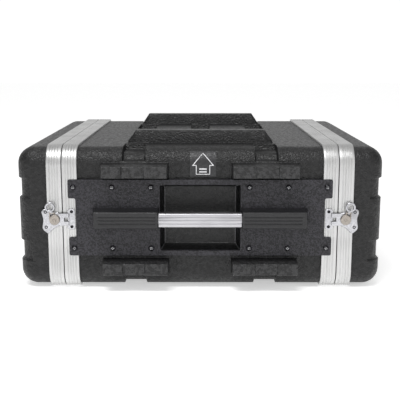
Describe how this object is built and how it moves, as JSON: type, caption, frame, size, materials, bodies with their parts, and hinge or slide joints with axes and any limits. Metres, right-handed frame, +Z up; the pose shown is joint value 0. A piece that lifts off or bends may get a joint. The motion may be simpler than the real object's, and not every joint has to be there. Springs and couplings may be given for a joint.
{
  "type": "rack flight case",
  "caption": "Low moulded travel case for rack-mounted audio units: metal-banded body with stacking bars, lift-off lids, twist latches, side carrying handles and steel rails inside.",
  "frame": {"origin": "middle of the case's overall box in X and Y, on the floor plane that its metal edge bands stand on", "axes": "+X from the front lid to the rear lid, +Y from the right side to the left side, +Z up"},
  "size_m": [0.584, 0.56, 0.2505],
  "materials": {
    "shell_plastic": "black moulded plastic with a pebbled grain",
    "plate_paint": "fine-textured charcoal paint",
    "cup_plastic": "satin black moulded plastic",
    "housing_plastic": "satin black moulded plastic",
    "valance_aluminium": "ribbed anodised extrusion",
    "sleeve_aluminium": "satin ribbed metal",
    "latch_zinc": "bright zinc plate",
    "knob_steel": "turned, yellow-tinted plating",
    "screw_black": "black-plated",
    "rail_steel": "zinc-plated steel",
    "label_film": "thin printed film"
  },
  "bodies": {
    "case_body": {"arrow_label": "label_film", "body_shell": "shell_plastic", "front_body_valance": "valance_aluminium", "front_left_handle_housing": "housing_plastic", "front_left_latch_keeper": "latch_zinc", "front_left_lower_screw": "screw_black", "front_left_rack_rail": "rail_steel", "front_left_upper_screw": "screw_black", "front_right_handle_housing": "housing_plastic", "front_right_latch_keeper": "latch_zinc", "front_right_lower_screw": "screw_black", "front_right_rack_rail": "rail_steel", "front_right_upper_screw": "screw_black", "left_grip_core": "rail_steel", "left_grip_sleeve": "sleeve_aluminium", "left_hand_cup": "cup_plastic", "left_side_plate": "plate_paint", "rear_body_valance": "valance_aluminium", "rear_left_handle_housing": "housing_plastic", "rear_left_latch_keeper": "latch_zinc", "rear_left_lower_screw": "screw_black", "rear_left_rack_rail": "rail_steel", "rear_left_upper_screw": "screw_black", "rear_right_handle_housing": "housing_plastic", "rear_right_latch_keeper": "latch_zinc", "rear_right_lower_screw": "screw_black", "rear_right_rack_rail": "rail_steel", "rear_right_upper_screw": "screw_black", "right_grip_core": "rail_steel", "right_grip_sleeve": "sleeve_aluminium", "right_hand_cup": "cup_plastic", "right_side_plate": "plate_paint"},
    "front_lid": {"front_lid_shell": "shell_plastic", "front_lid_valance": "valance_aluminium", "front_right_latch_plate": "latch_zinc", "front_left_latch_plate": "latch_zinc"},
    "rear_lid": {"rear_lid_shell": "shell_plastic", "rear_lid_valance": "valance_aluminium", "rear_right_latch_plate": "latch_zinc", "rear_left_latch_plate": "latch_zinc"},
    "front_right_knob": {"front_right_latch_knob": "knob_steel"},
    "front_right_wing": {"front_right_latch_wing": "latch_zinc"},
    "front_right_claw": {"front_right_latch_claw": "latch_zinc"},
    "front_left_knob": {"front_left_latch_knob": "knob_steel"},
    "front_left_wing": {"front_left_latch_wing": "latch_zinc"},
    "front_left_claw": {"front_left_latch_claw": "latch_zinc"},
    "rear_right_knob": {"rear_right_latch_knob": "knob_steel"},
    "rear_right_wing": {"rear_right_latch_wing": "latch_zinc"},
    "rear_right_claw": {"rear_right_latch_claw": "latch_zinc"},
    "rear_left_knob": {"rear_left_latch_knob": "knob_steel"},
    "rear_left_wing": {"rear_left_latch_wing": "latch_zinc"},
    "rear_left_claw": {"rear_left_latch_claw": "latch_zinc"}
  },
  "joints": [
    {"name": "front_lid_slide", "type": "slide", "parent": "case_body", "child": "front_lid", "axis": [-1, 0, 0], "range_m": [0, 0.12]},
    {"name": "rear_lid_slide", "type": "slide", "parent": "case_body", "child": "rear_lid", "axis": [1, 0, 0], "range_m": [0, 0.12]},
    {"name": "front_right_knob_turn", "type": "hinge", "parent": "front_lid", "child": "front_right_knob", "pos_m": [-0.2305, -0.2568, 0.1165], "axis": [0, -1, 0], "range_deg": [0, 180]},
    {"name": "front_right_claw_slide", "type": "slide", "parent": "front_lid", "child": "front_right_claw", "axis": [1, 0, 0], "range_m": [0, 0.0041]},
    {"name": "front_right_wing_fold", "type": "hinge", "parent": "front_right_knob", "child": "front_right_wing", "pos_m": [-0.2345, -0.2631, 0.1271], "axis": [1, 0, 0], "range_deg": [0, 90]},
    {"name": "front_left_knob_turn", "type": "hinge", "parent": "front_lid", "child": "front_left_knob", "pos_m": [-0.2305, 0.2568, 0.1165], "axis": [0, 1, 0], "range_deg": [0, 180]},
    {"name": "front_left_claw_slide", "type": "slide", "parent": "front_lid", "child": "front_left_claw", "axis": [1, 0, 0], "range_m": [0, 0.0041]},
    {"name": "front_left_wing_fold", "type": "hinge", "parent": "front_left_knob", "child": "front_left_wing", "pos_m": [-0.2345, 0.2631, 0.1271], "axis": [-1, 0, 0], "range_deg": [0, 90]},
    {"name": "rear_right_knob_turn", "type": "hinge", "parent": "rear_lid", "child": "rear_right_knob", "pos_m": [0.2305, -0.2568, 0.1165], "axis": [0, -1, 0], "range_deg": [0, 180]},
    {"name": "rear_right_claw_slide", "type": "slide", "parent": "rear_lid", "child": "rear_right_claw", "axis": [-1, 0, 0], "range_m": [0, 0.0041]},
    {"name": "rear_right_wing_fold", "type": "hinge", "parent": "rear_right_knob", "child": "rear_right_wing", "pos_m": [0.2345, -0.2631, 0.1271], "axis": [1, 0, 0], "range_deg": [0, 90]},
    {"name": "rear_left_knob_turn", "type": "hinge", "parent": "rear_lid", "child": "rear_left_knob", "pos_m": [0.2305, 0.2568, 0.1165], "axis": [0, 1, 0], "range_deg": [0, 180]},
    {"name": "rear_left_claw_slide", "type": "slide", "parent": "rear_lid", "child": "rear_left_claw", "axis": [-1, 0, 0], "range_m": [0, 0.0041]},
    {"name": "rear_left_wing_fold", "type": "hinge", "parent": "rear_left_knob", "child": "rear_left_wing", "pos_m": [0.2345, 0.2631, 0.1271], "axis": [-1, 0, 0], "range_deg": [0, 90]}
  ],
  "couplings": [
    {"joint": "front_right_claw_slide", "follows": "front_right_knob_turn", "m_per_rad": 0.0012732},
    {"joint": "front_left_claw_slide", "follows": "front_left_knob_turn", "m_per_rad": 0.0012732},
    {"joint": "rear_right_claw_slide", "follows": "rear_right_knob_turn", "m_per_rad": 0.0012732},
    {"joint": "rear_left_claw_slide", "follows": "rear_left_knob_turn", "m_per_rad": 0.0012732}
  ]
}
